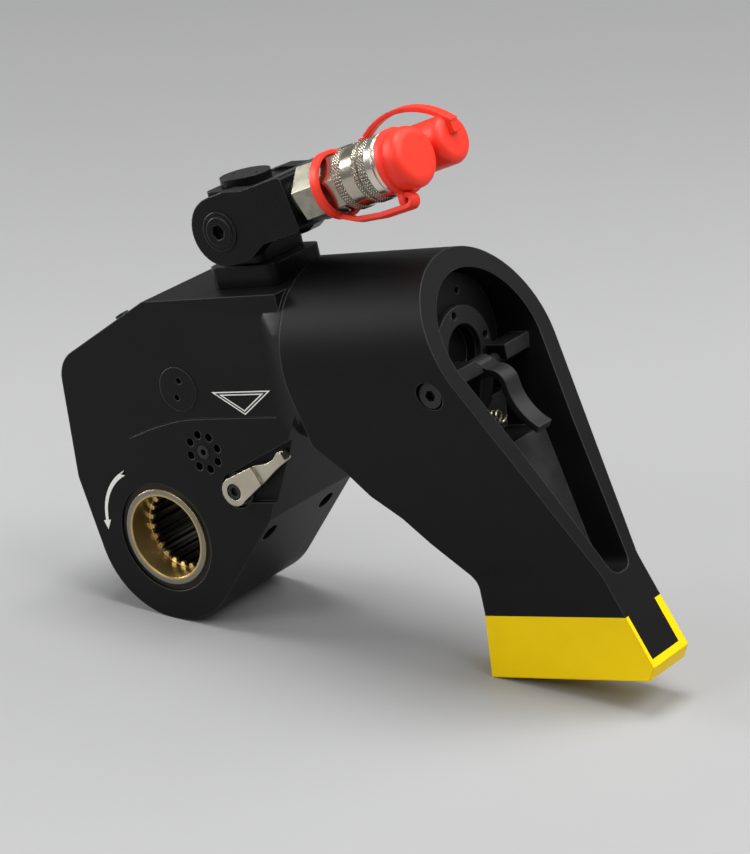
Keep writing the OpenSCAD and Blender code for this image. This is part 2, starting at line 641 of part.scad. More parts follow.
// the latch: a finger lever of two arcs above its pin, and a hook into the groove of the barrel below it
bend_c = latch_p + [7.5, -7.5];
bend_r = 8.5;
tail_c = latch_p + [41.5, -3];
tail_R = 26.1;
latch_t = 3.3;
finger_pts = concat([latch_p + [0, 4.6]], [for (a = [90 : -10 : 0]) bend_c + pol(bend_r, a)],
    [for (a = [197 : 6 : 239]) tail_c + pol(tail_R, a)],
    [for (a = [239 : -6 : 197]) tail_c + pol(tail_R + latch_t, a)],
    [for (a = [0 : 10 : 90]) bend_c + pol(bend_r - latch_t, a)], [latch_p + [3, -4]]);
hook_z = axis_z - barrel_r;
hook_pts = [latch_p + [-3, -3.5], latch_p + [3.5, -3.5], latch_p + [-1, -16], [barrel_end + 10, hook_z - 5],
    [groove_x0 + 1, hook_z - 5], [groove_x0 + 1, hook_z + 1.4], [groove_x0 + 4, hook_z + 1.4],
    [groove_x0 + 4, hook_z - 0.7], [barrel_end + 8, hook_z - 0.7], latch_p + [-5, -14]];
module latch_lever() color([0.16, 0.16, 0.17]) stand() difference() {
    union() {
        rod_y(latch_p, mid_y - latch_w / 2, mid_y + latch_w / 2, latch_hub);
        xz(mid_y - latch_w / 2, mid_y + latch_w / 2) polygon(finger_pts);
        xz(mid_y - latch_w / 2, mid_y + latch_w / 2) polygon(hook_pts);
    }
    rod_y(latch_p, 0, head_w, latch_pin_r + fit);
}
module latch_pin() color([0.35, 0.35, 0.36]) stand() difference() {
    union() {
        rod_y(latch_p, -5, 2 * mid_y + 4, latch_pin_r);
        rod_y(latch_p, -6, -2, 5.6);
    }
    translate([latch_p.x, -6, latch_p.y]) rotate([90, 0, 0]) socket_cut(2.6, 3);
}
// helix of a round wire, six sided, about the X axis
function coil_pts(len, r, w, n, m) = [for (i = [0 : n * m])
    let (a = 360 * i / m, c = [len * i / (n * m), r * cos(a), r * sin(a)])
    for (k = [0 : 5]) c + w * cos(60 * k) * [0, cos(a), sin(a)] + [w * sin(60 * k), 0, 0]];
module coil(len, r, w, n, m) polyhedron(coil_pts(len, r, w, n, m), concat(
    [[for (k = [0 : 5]) k]], [[for (k = [5 : -1 : 0]) n * m * 6 + k]],
    [for (i = [0 : n * m - 1]) for (k = [0 : 5])
        let (a = i * 6 + k, b = i * 6 + (k + 1) % 6) [b, a, a + 6, b + 6]]));
spring_at = [168.8, mid_y - latch_w / 2 - 4, 46];
spring_l = 18;
spring_r = 2.6;
wire_r = 0.55;
module latch_spring() color([0.55, 0.55, 0.55]) stand() translate(spring_at)
    coil(spring_l, spring_r, wire_r, 7, 12);

// swivel and couplers
module block(c, w, d, z0, z1, r) translate([c.x, c.y, z0]) linear_extrude(z1 - z0)
    polygon(rounded([[-w / 2, -d / 2, r], [w / 2, -d / 2, r], [w / 2, d / 2, r], [-w / 2, d / 2, r]], 6));
swivel_c = [pivot.x, mid_y];
module swivel_base() color([0.12, 0.12, 0.12]) stand() difference() {
    block(swivel_c, base_w, base_d, head_h, base_top, 5);
    translate([pivot.x, mid_y, head_h - eps]) cylinder(h = base_t + 1, r = post_r + press);
}
module swivel_post() color([0.5, 0.5, 0.52]) stand() translate([pivot.x, mid_y, 0]) difference() {
    translate([0, 0, post_z0]) cylinder(h = neck_top + clr - post_z0, r = post_r);
    for (z = seal_z) translate([0, 0, z]) difference() {
        cylinder(h = seal_h, r = post_r + 1);
        cylinder(h = seal_h, r = post_r - seal_in);
    }
    translate([0, 0, neck_top - 6]) cylinder(h = 8, r = 2.6);
}
seal_z = [base_top + 5, neck_top - 8];
module post_seals() color([0.1, 0.1, 0.1]) stand() for (z = seal_z)
    translate([pivot.x, mid_y, z + press]) difference() {
        cylinder(h = seal_h - 2 * press, r = post_r);
        translate([0, 0, -eps]) cylinder(h = seal_h + 1, r = post_r - seal_in + press);
    }
module swivel_body() color([0.12, 0.12, 0.12]) stand() difference() {
    block(swivel_c, neck_w, neck_d, base_top + clr, neck_top, 4);
    translate([pivot.x, mid_y, base_top]) cylinder(h = big, r = post_r + fit);
    rod_y(pivot, -eps, mid_y - neck_d / 2 + 7, trunnion_r + fit);
    rod_y(pivot, mid_y + neck_d / 2 - 7, head_w, trunnion_r + fit);
}
module swivel_cap() color([0.14, 0.14, 0.14]) stand() translate([pivot.x, mid_y, neck_top + clr]) difference() {
    union() {
        cylinder(h = disc_t, r = disc_r);
        translate([0, 0, -6]) cylinder(h = 7, r = 2.6 - press);
    }
    for (s = [-1, 1]) translate([s * 6.5, 0, disc_t - 2.4]) cylinder(h = 4, r = 1.5);
}
fork_pts = rounded([[10, fork_R, 5], [19, fork_up, 6], [fork_x, fork_up, 2], [fork_x, -fork_dn, 2],
    [20, -fork_dn, 6], [11, -fork_R, 5], [-fork_R, -fork_R, fork_R - 0.1],
    [-fork_R, fork_R, fork_R - 0.1]], 10);
module coupler_fork() color([0.12, 0.12, 0.12]) stand() difference() {
    fork_frame() translate([0, -fork_w / 2, 0]) difference() {
        xz(0, fork_w) polygon(fork_pts);
        translate([-big / 2, cheek_t, -big / 2]) cube([big / 2 + bridge_x, fork_w - 2 * cheek_t, big]);
        rod_y([0, 0], -eps, fork_w + eps, trunnion_r + press);
        rod_y([0, 0], -eps, 3, 9 + fit);
        rod_y([0, 0], fork_w - 3, fork_w + eps, 9 + fit);
    }
    for (s = [-1, 1]) on_port(s) {
        turn_x(bridge_x + 3, fork_x + eps, port_r);
    }
}
module pivot_screws() color([0.5, 0.5, 0.5]) stand() mirror_y()
    translate([pivot.x, mid_y - fork_w / 2, pivot.y]) rotate([0, -pitch, 0]) difference() {
        union() {
            rod_y([0, 0], -0.6, 3, 9);
            rod_y([0, 0], -1.4, 0, 6.6);
            rod_y([0, 0], 2.5, cheek_t + 6.5, trunnion_r);
        }
        translate([0, -1.4, 0]) rotate([90, 0, 0]) socket_cut(3.6, 4);
    }
module hose_adapters() color([0.5, 0.5, 0.44]) stand() for (s = [-1, 1]) on_port(s) difference() {
    union() {
        turn_x(bridge_x + 4, neck_x + 1, port_r - press);
        turn_x(fork_x, neck_x + 1, port_r + 1.5);
        hex_x(neck_x, adapter_x, adapter_af, hex_a);
    }
    turn_x(0, 100, way_r);
}
hex_a = 15;
way_r = 3;
module coupler_body() color([0.75, 0.74, 0.7]) stand() on_port(-1) difference() {
    union() {
        hex_x(adapter_x, nickel_x, nickel_af, hex_a);
        turn_x(nickel_x - 1, mouth_x, core_r);
        turn_x(rim_x, mouth_x - 2.4, collar_r + 0.1);
        turn_x(rim_x, mouth_x, collar_r - 0.5);
    }
    turn_x(mouth_x - plug_in - 2, mouth_x + eps, mouth_r);
    turn_x(0, mouth_x, way_r);
}
knurl_n = 60;
knurl_h = 0.4;
knurl_x = [[nickel_x + clr, 4.2], [nickel_x + 11.6, 2.4], [nickel_x + 15.2, 4]];
module coupler_collar() color([0.8, 0.79, 0.76]) stand() on_port(-1) difference() {
    union() {
        turn_x(nickel_x + clr, rim_x - clr, collar_r - 0.8);
        turn_x(nickel_x + 4.5, nickel_x + 11.3, collar_r - 0.5);
        for (k = knurl_x) translate([k[0], 0, 0]) rotate([0, 90, 0])
            linear_extrude(k[1]) polygon(star_pts(knurl_n, collar_r, collar_r - knurl_h));
    }
    turn_x(0, 200, core_r + fit);
}
module coupler_nipple() color([0.75, 0.74, 0.7]) stand() on_port(1) difference() {
    union() {
        turn_x(adapter_x, nip_neck_x + 1, nip_neck_r);
        hex_x(nip_neck_x, nip_hex_x, nip_af, hex_a);
        turn_x(nip_hex_x - 1, nip_end, stem_r);
    }
    turn_x(0, 200, way_r);
}
// dust caps: revolved cups with rounded ends, each with a strap to a ring behind its coupler
edge_r = 4;
function cup(x0, x1, r) = concat([[0, x0], [r, x0]],
    [for (a = [0 : 15 : 90]) [r - edge_r, x1 - edge_r] + pol(edge_r, a)], [[0, x1]]);
module revolve_x() rotate([0, 90, 0]) rotate_extrude() children();
ring_x = adapter_x + 0.4;
ring_w = 4;
front_ring_r = nickel_af / 2 / cos(30) + 0.4;
ring_wall = 1.9;
lip_r = 14.6;
cap_r = 13.5;
tab_R = 16.8;
tab_r = 3.4;
tab_a = 20;
cap_x0 = mouth_x + clr;
turn_r = 2.4;
front_path = concat([[cap_x0 + 2, -tab_R - turn_r + 3.4]],
    [for (a = [90 : -15 : -90]) [cap_x0 + 3.4, -tab_R - 0.8] + pol(turn_r, a)],
    [[nickel_x + 14, -tab_R - 3], [nickel_x, -tab_R - 1.2],
        [ring_x + ring_w / 2, -front_ring_r - ring_wall / 2]]);
module front_dust_cap() color([0.9, 0.15, 0.1]) stand() on_port(-1) difference() {
    union() {
        revolve_x() polygon(cup(cap_x0, cap_end, cap_r));
        turn_x(cap_x0, cap_x0 + 2.7, lip_r);
        turn_x(mouth_x - plug_in, cap_x0 + 1, mouth_r - clr);
        turn_x(ring_x, ring_x + ring_w, front_ring_r + ring_wall);
        rotate([-tab_a, 0, 0]) {
            translate([cap_x0, 0, -tab_R]) rotate([0, 90, 0]) cylinder(h = 2.6, r = tab_r);
            translate([cap_x0, -tab_r, -tab_R]) cube([2.6, 2 * tab_r, tab_R - cap_r + 2]);
            xz(-strap_w / 2, strap_w / 2) polygon(band(front_path, strap_t));
        }
    }
    rotate([-tab_a, 0, 0]) translate([cap_x0 - eps, 0, -tab_R]) rotate([0, 90, 0]) cylinder(h = 3, r = 1.3);
    turn_x(ring_x - eps, ring_x + ring_w + eps, front_ring_r);
}
back_ring_x = 62;
back_ring_r = 10.2;
back_wall = 1.4;
back_end = 110;
arch_c = [84.9, -17.7];
arch_R = 36.7;
back_path = [for (a = [122 : -4 : 42]) arch_c + pol(arch_R, a)];
module rear_dust_cap() color([0.9, 0.15, 0.1]) stand() on_port(1) difference() {
    union() {
        revolve_x() polygon(cup(nip_cap_x, back_end, nip_cap_r));
        turn_x(back_ring_x, back_ring_x + ring_w, back_ring_r + back_wall);
        xz(-strap_w / 2, strap_w / 2) polygon(band(back_path, strap_t));
        translate([back_ring_x, -strap_w / 2, back_ring_r]) cube([ring_w, strap_w, 3.4]);
        translate([back_end - 5, -strap_w / 2, 2]) cube([7.4, strap_w, 6.6]);
    }
    turn_x(0, nip_end + clr, stem_r + clr);
    turn_x(back_ring_x - eps, back_ring_x + ring_w + eps, back_ring_r);
}

housing();
rear_cover();
cover_screws();
front_bushing();
rear_bushing();
facet_screws();
side_plug();
relief_plug();
vent_screw();
ratchet();
drive_plate_front();
drive_plate_rear();
pawl_pin();
drive_pawl();
piston();
piston_seal();
piston_rod();
rod_pin();
rod_gland();
rod_seal();
cylinder_cap();
cap_ring();
release_lever();
lever_shaft();
lever_screw();
lever_bush();
reaction_pawl();
reaction_arm();
latch_lever();
latch_pin();
latch_spring();
swivel_base();
swivel_post();
post_seals();
swivel_body();
swivel_cap();
coupler_fork();
pivot_screws();
hose_adapters();
coupler_body();
coupler_collar();
coupler_nipple();
front_dust_cap();
rear_dust_cap();
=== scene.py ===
"""Looks of the hydraulic torque wrench: materials, softened edges, painted signs, floor, light and camera."""

import math

import bpy
from mathutils import Matrix, Vector


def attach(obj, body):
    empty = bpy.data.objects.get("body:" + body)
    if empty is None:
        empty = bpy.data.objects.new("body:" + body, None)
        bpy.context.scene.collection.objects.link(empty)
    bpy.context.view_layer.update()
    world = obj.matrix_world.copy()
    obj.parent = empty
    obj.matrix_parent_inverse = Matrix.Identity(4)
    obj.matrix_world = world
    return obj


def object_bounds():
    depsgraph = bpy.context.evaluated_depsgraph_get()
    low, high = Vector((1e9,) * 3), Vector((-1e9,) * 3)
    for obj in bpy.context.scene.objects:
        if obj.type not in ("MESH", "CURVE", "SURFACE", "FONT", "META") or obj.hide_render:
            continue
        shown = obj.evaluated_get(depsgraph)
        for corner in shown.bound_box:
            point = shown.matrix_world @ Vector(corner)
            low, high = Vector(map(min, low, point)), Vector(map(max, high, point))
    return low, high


MM = 0.001

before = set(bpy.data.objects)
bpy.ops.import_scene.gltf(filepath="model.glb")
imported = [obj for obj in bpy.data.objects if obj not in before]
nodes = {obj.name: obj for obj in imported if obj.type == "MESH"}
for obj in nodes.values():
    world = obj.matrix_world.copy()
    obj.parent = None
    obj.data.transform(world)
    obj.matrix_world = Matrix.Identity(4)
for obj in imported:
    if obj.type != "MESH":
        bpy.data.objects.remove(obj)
cad_lo, cad_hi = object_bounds()
centre = (cad_lo + cad_hi) / 2

# The tool is drawn level and then tipped onto its nose and foot by STAND degrees about Y.
NOSE_R = 40.0
FOOT_X = 154.0
FOOT_Z = 71.7
STAND = math.degrees(math.asin(-NOSE_R / math.hypot(FOOT_X, FOOT_Z)) + math.atan2(FOOT_Z, FOOT_X))
HEAD_W = 62.0
MID_Y = HEAD_W / 2
AXIS_Z = 78.0

STAND_ROT = Matrix.Rotation(math.radians(-STAND), 3, "Y")


def tool_dir(x, y, z):
    """A direction of the level tool, in the frame it stands in."""
    return STAND_ROT @ Vector((x, y, z))


def tool_point(x, y, z):
    """A place on the level tool in millimetres, in the frame it stands in, in metres."""
    return STAND_ROT @ Vector((x, y, z)) * MM


# Shader helpers. All textures run on the coordinates of the pieces themselves.
NOISE_ROUGH = 0.6
RAMP_SPAN = (0.3, 0.7)


def noise(tree, scale, detail=4.0):
    """A noise texture on the piece's own coordinates, in metres."""
    coord = tree.nodes.new("ShaderNodeTexCoord")
    tex = tree.nodes.new("ShaderNodeTexNoise")
    tex.inputs["Scale"].default_value = scale
    tex.inputs["Detail"].default_value = detail
    tex.inputs["Roughness"].default_value = NOISE_ROUGH
    tree.links.new(coord.outputs["Object"], tex.inputs["Vector"])
    return tex.outputs["Fac"]


def ramp(tree, fac, low, high):
    """A grey or coloured ramp over the middle of a factor's range."""
    node = tree.nodes.new("ShaderNodeValToRGB")
    for element, position, colour in zip(node.color_ramp.elements, RAMP_SPAN, (low, high)):
        element.position = position
        element.color = colour
    tree.links.new(fac, node.inputs["Fac"])
    return node.outputs["Color"]


def maths(tree, operation, a, b=None):
    """A sum, product or other operation on sockets and plain numbers."""
    node = tree.nodes.new("ShaderNodeMath")
    node.operation = operation
    for socket, value in zip(node.inputs, (a, b)):
        if isinstance(value, (int, float)):
            socket.default_value = value
        elif value is not None:
            tree.links.new(value, socket)
    return node.outputs["Value"]


def both(tree, a, b):
    """One where two factors are both one."""
    return maths(tree, "MULTIPLY", a, b)


def unless(tree, factor):
    """One where a factor is nought."""
    return maths(tree, "SUBTRACT", 1.0, factor)


def mixed(tree, factor, a, b):
    """One colour over another, where the factor is one."""
    mix = tree.nodes.new("ShaderNodeMix")
    mix.data_type = "RGBA"
    tree.links.new(factor, mix.inputs["Factor"])
    for socket, value in ((mix.inputs["A"], a), (mix.inputs["B"], b)):
        if isinstance(value, tuple):
            socket.default_value = value + (1.0,)
        else:
            tree.links.new(value, socket)
    return mix.outputs["Result"]


def step(tree, value, start, end):
    """Nought below the start, one above the end, smooth between."""
    node = tree.nodes.new("ShaderNodeMapRange")
    node.interpolation_type = "SMOOTHSTEP"
    tree.links.new(value, node.inputs["Value"])
    node.inputs["From Min"].default_value = start
    node.inputs["From Max"].default_value = end
    return node.outputs["Result"]


def dot_product(tree, vector, other):
    """The dot product of a vector socket with another socket or with a fixed vector."""
    node = tree.nodes.new("ShaderNodeVectorMath")
    node.operation = "DOT_PRODUCT"
    tree.links.new(vector, node.inputs[0])
    if isinstance(other, Vector):
        node.inputs[1].default_value = tuple(other)
    else:
        tree.links.new(other, node.inputs[1])
    return node.outputs["Value"]


def along(tree, place, direction, offset):
    """Millimetres along a direction, past an offset."""
    return maths(tree, "ADD", dot_product(tree, place, direction / MM), -offset)


def about(tree, place, axis, through):
    """Millimetres from an axis through a point, and the turn about it in radians."""
    side = axis.cross(Vector((0, 1, 0)) if abs(axis.y) < 0.9 else Vector((1, 0, 0))).normalized()
    other = axis.cross(side)
    u = along(tree, place, side, side.dot(through) / MM)
    v = along(tree, place, other, other.dot(through) / MM)
    squares = maths(tree, "ADD", maths(tree, "MULTIPLY", u, u), maths(tree, "MULTIPLY", v, v))
    return maths(tree, "SQRT", squares), maths(tree, "ARCTAN2", v, u)


def base_colour(mat):
    """The socket that a material's colour goes into, and the colour that it has so far."""
    socket = mat.node_tree.nodes["Principled BSDF"].inputs["Base Color"]
    return socket, socket.links[0].from_socket


GRAIN_H = 0.1
EDGE_HIGHLIGHT_TURN = (0.02, 0.22)
EDGE_SAMPLES = 6


def surface(name, colour, spread=0.12, metallic=0.0, rough=(0.35, 0.45), grain=900.0, patch=60.0, bump=0.02,
            specular=0.5, edge=0.0, edge_highlight=None):
    """A surface with patchy colour, uneven gloss, a fine grain, edges that catch light and a painted highlight
    on them.
    """
    mat = bpy.data.materials.new(name)
    mat.use_nodes = True
    tree = mat.node_tree
    bsdf = tree.nodes["Principled BSDF"]
    low = tuple(c * (1 - spread) for c in colour) + (1.0,)
    high = tuple(min(1.0, c * (1 + spread)) for c in colour) + (1.0,)
    tree.links.new(ramp(tree, noise(tree, patch), low, high), bsdf.inputs["Base Color"])
    fine = noise(tree, grain, detail=3.0)
    glossiest, dullest = ((r, r, r, 1.0) for r in rough)
    tree.links.new(ramp(tree, fine, glossiest, dullest), bsdf.inputs["Roughness"])
    bsdf.inputs["Metallic"].default_value = metallic
    bsdf.inputs["Specular IOR Level"].default_value = specular
    if edge:
        node = tree.nodes.new("ShaderNodeBevel")
        node.samples = EDGE_SAMPLES
        node.inputs["Radius"].default_value = edge * MM
        soft = node.outputs["Normal"]
        tree.links.new(soft, bsdf.inputs["Normal"])
    # Painted highlight: the colour turns paler along the edges, where the softened normal bends away from the
    # true one.
    if edge and edge_highlight:
        true_normal = tree.nodes.new("ShaderNodeNewGeometry").outputs["Normal"]
        highlight_mask = step(tree, unless(tree, dot_product(tree, soft, true_normal)), *EDGE_HIGHLIGHT_TURN)
        socket, so_far = base_colour(mat)
        tree.links.new(mixed(tree, highlight_mask, so_far, edge_highlight), socket)
    if bump:
        node = tree.nodes.new("ShaderNodeBump")
        if edge:
            tree.links.new(soft, node.inputs["Normal"])
        node.inputs["Strength"].default_value = bump
        node.inputs["Distance"].default_value = GRAIN_H * MM
        tree.links.new(fine, node.inputs["Height"])
        tree.links.new(node.outputs["Normal"], bsdf.inputs["Normal"])
    return mat


# Plain materials. The blacks given an edge colour get a painted highlight along their edges.
BLACK = (0.005, 0.005, 0.0053)
# Satin black, with a faint painted highlight along its edges.
SATIN = dict(rough=(0.38, 0.47), grain=2600, patch=45, bump=0.06, specular=0.13, edge=0.9,
             edge_highlight=(0.075, 0.075, 0.077))
black_coat = surface("black_coat", BLACK, **SATIN)
# A lighter black, its edges painted much paler: a strong painted highlight.
highlit_black = surface("highlit_black", (0.013, 0.013, 0.0135), rough=(0.4, 0.5), grain=1800, bump=0.08,
                     specular=0.25, edge=0.5, edge_highlight=(0.2, 0.2, 0.2))
gloss_black = surface("gloss_black", BLACK, rough=(0.24, 0.34), grain=1600, patch=40, bump=0.04,
                      specular=0.13, edge=0.9, edge_highlight=(0.06, 0.06, 0.06))
black_oxide = surface("black_oxide", (0.02, 0.02, 0.022), metallic=0.5, rough=(0.3, 0.42), grain=1800)
dark_bronze = surface("dark_bronze", (0.03, 0.026, 0.02), metallic=0.8, rough=(0.35, 0.5), grain=1500)
bronze = surface("bronze", (0.30, 0.21, 0.1), metallic=1.0, rough=(0.3, 0.42), grain=1500)
plate_steel = surface("plate_steel", (0.42, 0.4, 0.37), metallic=1.0, rough=(0.3, 0.42), grain=1500)
ground_steel = surface("ground_steel", (0.55, 0.55, 0.56), metallic=1.0, rough=(0.2, 0.3), grain=2000)
hard_chrome = surface("hard_chrome", (0.7, 0.7, 0.7), metallic=1.0, rough=(0.08, 0.14), grain=800)
seal_rubber = surface("seal_rubber", (0.02, 0.05, 0.09), rough=(0.5, 0.6))
satin_nickel = surface("satin_nickel", (0.52, 0.475, 0.38), metallic=1.0, rough=(0.34, 0.44), grain=2200,
                       edge=0.4)
spring_steel = surface("spring_steel", (0.42, 0.38, 0.3), metallic=1.0, rough=(0.25, 0.35))
zinc = surface("zinc", (0.31, 0.3, 0.24), metallic=1.0, rough=(0.26, 0.42), grain=900, patch=140, spread=0.3,
               edge=0.4)
nickel = surface("nickel", (0.7, 0.65, 0.56), metallic=1.0, rough=(0.16, 0.26), grain=1500, edge=0.3)
red_rubber = surface("red_rubber", (0.9, 0.034, 0.014), spread=0.05, rough=(0.4, 0.5), grain=1500,
                     specular=0.35, edge=1.0)
white_ink = surface("white_ink", (0.78, 0.79, 0.74), spread=0.05, rough=(0.5, 0.6), bump=0)

# The ratchet: a dull silver ring on its end, a brass mouth with a bright lip, a painted highlight on the tooth
# ends and painted shade, dark, on the grooves behind them. Depths are from the nearer end face. Each change of
# colour has a start and an end.
BRASS = (0.55, 0.39, 0.15)
MOUTH_BRASS = (0.55, 0.38, 0.14)
TOOTH_HIGHLIGHT = (1.0, 0.88, 0.5)
GROOVE_SHADE = (0.006, 0.005, 0.004)
RING_SILVER = (0.24, 0.23, 0.2)
MOUTH_R = (20.2, 20.4)
LIP_R = (20.6, 20.9)
RING_DEPTH = (0.5, 1.0)
MOUTH_DEPTH = (3.0, 11.0)
TOOTH_DEPTH = (11.5, 12.0)
GROOVE_DEPTH = (12.6, 15.0)
FLAT_FACING = (0.8, 0.9)


def ratchet_steel():
    mat = surface("ratchet_steel", BRASS, metallic=0.88, rough=(0.27, 0.33), grain=1500, edge=0.8)
    tree = mat.node_tree
    coord = tree.nodes.new("ShaderNodeTexCoord")
    place = coord.outputs["Object"]
    drive_axis = Vector((0, 1, 0))
    radius, _ = about(tree, place, drive_axis, Vector((0, 0, 0)))
    from_mid = maths(tree, "ABSOLUTE", along(tree, place, drive_axis, MID_Y))
    depth = maths(tree, "SUBTRACT", MID_Y, from_mid)
    facing = maths(tree, "ABSOLUTE", dot_product(tree, coord.outputs["Normal"], drive_axis))
    flat = step(tree, facing, *FLAT_FACING)
    inside = unless(tree, step(tree, radius, *MOUTH_R))
    on_end = both(tree, flat, unless(tree, step(tree, depth, *RING_DEPTH)))
    tooth_end = both(tree, flat, step(tree, depth, *TOOTH_DEPTH))
    socket, colour = base_colour(mat)
    colour = mixed(tree, both(tree, inside, step(tree, depth, *MOUTH_DEPTH)), colour, MOUTH_BRASS)
    # Painted shade deep in the bore, and a painted highlight on the tooth ends.
    colour = mixed(tree, both(tree, inside, step(tree, depth, *GROOVE_DEPTH)), colour, GROOVE_SHADE)
    colour = mixed(tree, both(tree, inside, tooth_end), colour, TOOTH_HIGHLIGHT)
    colour = mixed(tree, both(tree, on_end, step(tree, radius, *LIP_R)), colour, RING_SILVER)
    tree.links.new(colour, socket)
    return mat


# The front coupler's axis: tilted by PITCH about the fork's pivot, above it by PORT_Z.
PITCH = 12.0
PIVOT_X = 70.0
PIVOT_Z = 139.2
PORT_GAP = 27.0
PORT_Z = 1.2


def port_place(tree):
    """Millimetres along the front coupler from its pivot and out from its axis, and the turn about it."""
    place = tree.nodes.new("ShaderNodeTexCoord").outputs["Object"]
    tilt = math.radians(PITCH)
    axis = tool_dir(math.cos(tilt), 0, math.sin(tilt))
    port_x = PIVOT_X - PORT_Z * math.sin(tilt)
    port_z = PIVOT_Z + PORT_Z * math.cos(tilt)
    port = tool_point(port_x, MID_Y - PORT_GAP / 2, port_z)
    radius, turn = about(tree, place, axis, port)
    return along(tree, place, axis, axis.dot(port) / MM), radius, turn


# The collar: crossed knurling on its raised bands, with painted shade in the knurl's grooves.
KNURL_R = (13.44, 13.48)
KNURL_N = 60
KNURL_PITCH = 1.4
KNURL_H = 0.3
KNURL_STRENGTH = 0.8
KNURL_BRIGHT = (0.88, 0.84, 0.74)
KNURL_SHADE = (0.13, 0.115, 0.085)
KNURL_SHADE_FADE = (0.1, 0.9)


def knurled_nickel():
    mat = surface("knurled_nickel", (0.5, 0.46, 0.37), metallic=1.0, rough=(0.16, 0.26), grain=1500, bump=0)
    tree = mat.node_tree
    length, radius, turn = port_place(tree)
    waves = maths(tree, "MULTIPLY", length, 2 * math.pi / KNURL_PITCH)
    ribs = maths(tree, "MULTIPLY", turn, KNURL_N)
    one_way = maths(tree, "SINE", maths(tree, "ADD", ribs, waves))
    other_way = maths(tree, "SINE", maths(tree, "SUBTRACT", ribs, waves))
    peaks = maths(tree, "MINIMUM", one_way, other_way)
    band = step(tree, radius, *KNURL_R)
    bump = tree.nodes.new("ShaderNodeBump")
    bump.inputs["Strength"].default_value = KNURL_STRENGTH
    bump.inputs["Distance"].default_value = KNURL_H * MM
    tree.links.new(both(tree, peaks, band), bump.inputs["Height"])
    tree.links.new(bump.outputs["Normal"], tree.nodes["Principled BSDF"].inputs["Normal"])
    # Painted shade in the knurl's grooves.
    knurl_shade_mask = step(tree, maths(tree, "MULTIPLY", peaks, -1.0), *KNURL_SHADE_FADE)
    socket, colour = base_colour(mat)
    colour = mixed(tree, band, colour, KNURL_BRIGHT)
    tree.links.new(mixed(tree, both(tree, knurl_shade_mask, band), colour, KNURL_SHADE), socket)
    return mat


# The coupler body: duller where it is a hexagon, bright at its mouth.
HEX_END = 72.2
HEX_PATCH = 140.0
HEX_DULL = ((0.3, 0.275, 0.22, 1.0), (0.42, 0.39, 0.32, 1.0))


def coupler_nickel():
    mat = surface("coupler_nickel", (0.75, 0.71, 0.63), metallic=1.0, rough=(0.16, 0.26), grain=1500,
                  edge=0.3)
    tree = mat.node_tree
    length, _, _ = port_place(tree)
    on_hex = maths(tree, "LESS_THAN", length, HEX_END)
    socket, colour = base_colour(mat)
    tree.links.new(mixed(tree, on_hex, colour, ramp(tree, noise(tree, HEX_PATCH), *HEX_DULL)), socket)
    return mat


# The arm is black with a yellow foot. On the slanted end face a black field is left inside a yellow border.
# Faces deep inside the open end that look out of it are painted lighter: painted light on the pocket floor and
# web.
YELLOW = ((0.9408, 0.6432, 0.0, 1.0), (0.98, 0.67, 0.0, 1.0))
YELLOW_PATCH = 70.0
PAINT_Z = -43.0
BORDER_NEAR = 2.2
BORDER_FAR = 4.6
BORDER_LOW = 3.2
FOOT_W = 28.0
FOOT_CHAMFER = 6.0
SLANT = 21.3
END_X = 184.0
END_SLACK = 0.4
POCKET_LIGHT = ((0.018, 0.018, 0.0185, 1.0), (0.032, 0.032, 0.033, 1.0))
POCKET_LIGHT_PATCH = 90.0
POCKET_LIGHT_D = 4.0
OUT_FACING = (0.85, 0.95)


def arm_paint():
    mat = surface("arm_coat", BLACK, **SATIN)
    tree = mat.node_tree
    coord = tree.nodes.new("ShaderNodeTexCoord")
    place = coord.outputs["Object"]
    slant = math.radians(SLANT)
    outward = tool_dir(math.cos(slant), 0, math.sin(slant))
    end_at = END_X * math.cos(slant) + AXIS_Z * math.sin(slant)
    past_end = along(tree, place, outward, end_at - END_SLACK)
    height = along(tree, place, tool_dir(0, 0, 1), 0)
    across = along(tree, place, tool_dir(0, 1, 0), MID_Y)

    on_end = maths(tree, "GREATER_THAN", past_end, 0.0)
    past_near = maths(tree, "GREATER_THAN", across, BORDER_NEAR - FOOT_W / 2)
    before_far = maths(tree, "LESS_THAN", across, FOOT_W / 2 - BORDER_FAR)
    above_low = maths(tree, "GREATER_THAN", height, -FOOT_Z + FOOT_CHAMFER + BORDER_LOW)
    field = both(tree, on_end, both(tree, both(tree, past_near, before_far), above_low))
    on_foot = maths(tree, "LESS_THAN", height, PAINT_Z)
    painted = both(tree, on_foot, unless(tree, field))

    # Painted light on the faces deep inside the open end that look out of it.
    deep = maths(tree, "LESS_THAN", past_end, -POCKET_LIGHT_D)
    looks_out = step(tree, dot_product(tree, coord.outputs["Normal"], outward), *OUT_FACING)
    socket, colour = base_colour(mat)
    pocket_light = ramp(tree, noise(tree, POCKET_LIGHT_PATCH), *POCKET_LIGHT)
    colour = mixed(tree, both(tree, deep, looks_out), colour, pocket_light)
    yellow = ramp(tree, noise(tree, YELLOW_PATCH), *YELLOW)
    tree.links.new(mixed(tree, painted, colour, yellow), socket)
    return mat


